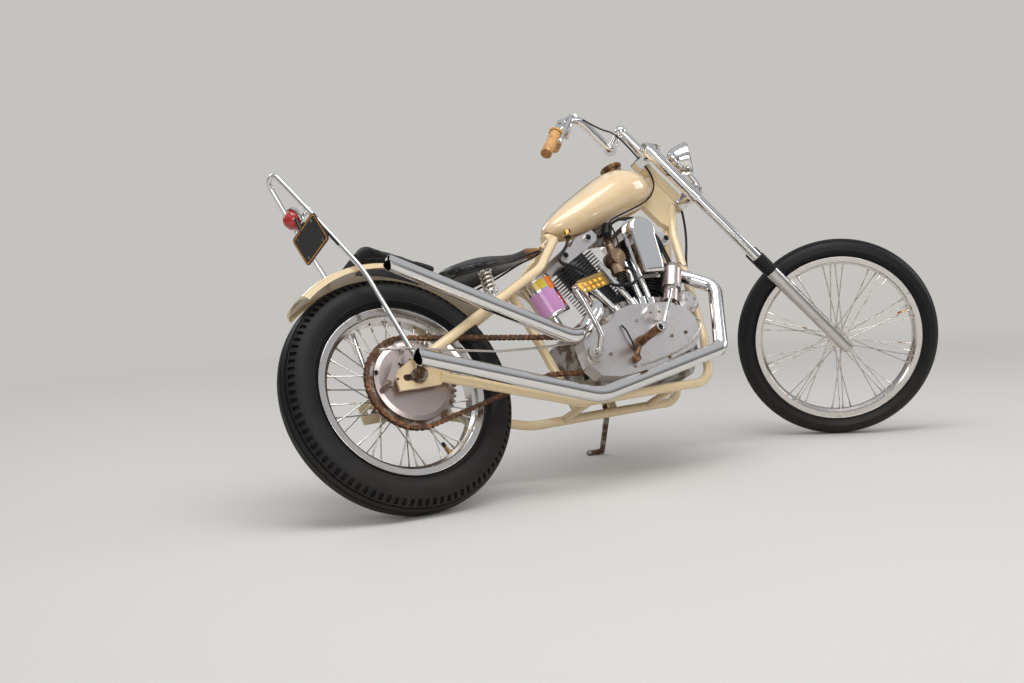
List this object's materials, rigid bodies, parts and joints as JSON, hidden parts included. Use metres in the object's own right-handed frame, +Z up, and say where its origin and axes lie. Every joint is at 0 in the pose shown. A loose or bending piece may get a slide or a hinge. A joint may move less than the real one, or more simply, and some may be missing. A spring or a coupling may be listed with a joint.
{
  "type": "chopper motorcycle",
  "caption": "Rigid-frame V-twin chopper with a long raked fork, tall bars, spoked wheels, peanut tank, sprung solo seat, chain drive and side stand.",
  "frame": {"origin": "centre of the bounding box at ground level, the motorcycle leaning on its side stand", "axes": "+X towards the front, +Y to the rider's left, +Z up"},
  "size_m": [2.2954, 1.0254, 1.1581],
  "materials": {
    "frame_paint": "gloss",
    "tank_paint": "gloss",
    "chrome": "polished",
    "polished_alloy": "polished",
    "cast_alloy": "satin",
    "black_iron": "satin",
    "bright_steel": "satin",
    "brass": "satin",
    "black_enamel": "gloss",
    "tyre_rubber": "matt",
    "grip_rubber": "matt",
    "seal_rubber": "matt",
    "seat_leather": "satin",
    "lens_red": "gloss",
    "can_print": "gloss"
  },
  "bodies": {
    "fork": {"fork_tubes": "chrome", "fork_sliders": "polished_alloy", "fork_seals": "seal_rubber", "triple_trees": "polished_alloy", "handlebar": "chrome", "grips": "grip_rubber", "headlight": "black_enamel"},
    "front_wheel": {"front_tyre": "tyre_rubber", "front_rim": "chrome", "front_hub_spokes": "bright_steel"},
    "rear_wheel": {"rear_tyre": "tyre_rubber", "rear_rim": "chrome", "rear_hub_spokes": "bright_steel", "rear_drum_sprocket": "black_iron"},
    "side_stand": {"side_stand": "chrome"},
    "frame": {"frame_neck": "frame_paint", "frame_downtubes": "frame_paint", "frame_lower_rails": "frame_paint", "frame_seat_post": "frame_paint", "chain_stay_right": "frame_paint", "chain_stay_left": "frame_paint", "seat_stay_right": "frame_paint", "seat_stay_left": "frame_paint", "crankcase": "cast_alloy", "gearcase_cover": "polished_alloy", "primary_cover": "polished_alloy", "cylinders": "black_iron", "rocker_boxes": "polished_alloy", "pushrod_tubes": "bright_steel", "magneto": "cast_alloy", "generator": "cast_alloy", "carburettor": "brass", "air_cover": "chrome", "engine_mount": "cast_alloy", "exhaust_front": "chrome", "exhaust_rear": "chrome", "fuel_tank": "tank_paint", "tank_cap": "brass", "seat": "seat_leather", "seat_springs": "chrome", "fender": "frame_paint", "pillion_pad": "seat_leather", "sissy_bar": "chrome", "tail_light": "lens_red", "number_plate": "black_enamel", "oil_tank": "can_print", "chain": "bright_steel", "chain_tensioner": "bright_steel", "brake_plate": "cast_alloy", "rear_axle": "bright_steel", "brake_rod": "bright_steel", "kick_starter": "brass", "foot_pegs": "bright_steel", "shift_lever": "chrome", "fuel_hose": "seal_rubber", "ignition_leads": "seal_rubber"}
  },
  "joints": [
    {"name": "rear_wheel_spin", "type": "hinge", "parent": "frame", "child": "rear_wheel", "pos_m": [-0.80776, -0.25048, 0.31136], "axis": [0.0035, 0.8988, -0.4384], "continuous": true},
    {"name": "steering", "type": "hinge", "parent": "frame", "child": "fork", "pos_m": [0.8406, -0.26229, 0.30016], "axis": [-0.5865, 0.3569, 0.7271], "range_deg": [0, 96]},
    {"name": "front_wheel_spin", "type": "hinge", "parent": "fork", "child": "front_wheel", "pos_m": [0.87027, -0.28966, 0.33752], "axis": [0.6042, 0.7906, 0.0993], "continuous": true},
    {"name": "side_stand_fold", "type": "hinge", "parent": "frame", "child": "side_stand", "pos_m": [-0.04971, -0.18563, 0.18113], "axis": [0.1023, 0.6235, 0.7751], "range_deg": [0, 104]}
  ]
}
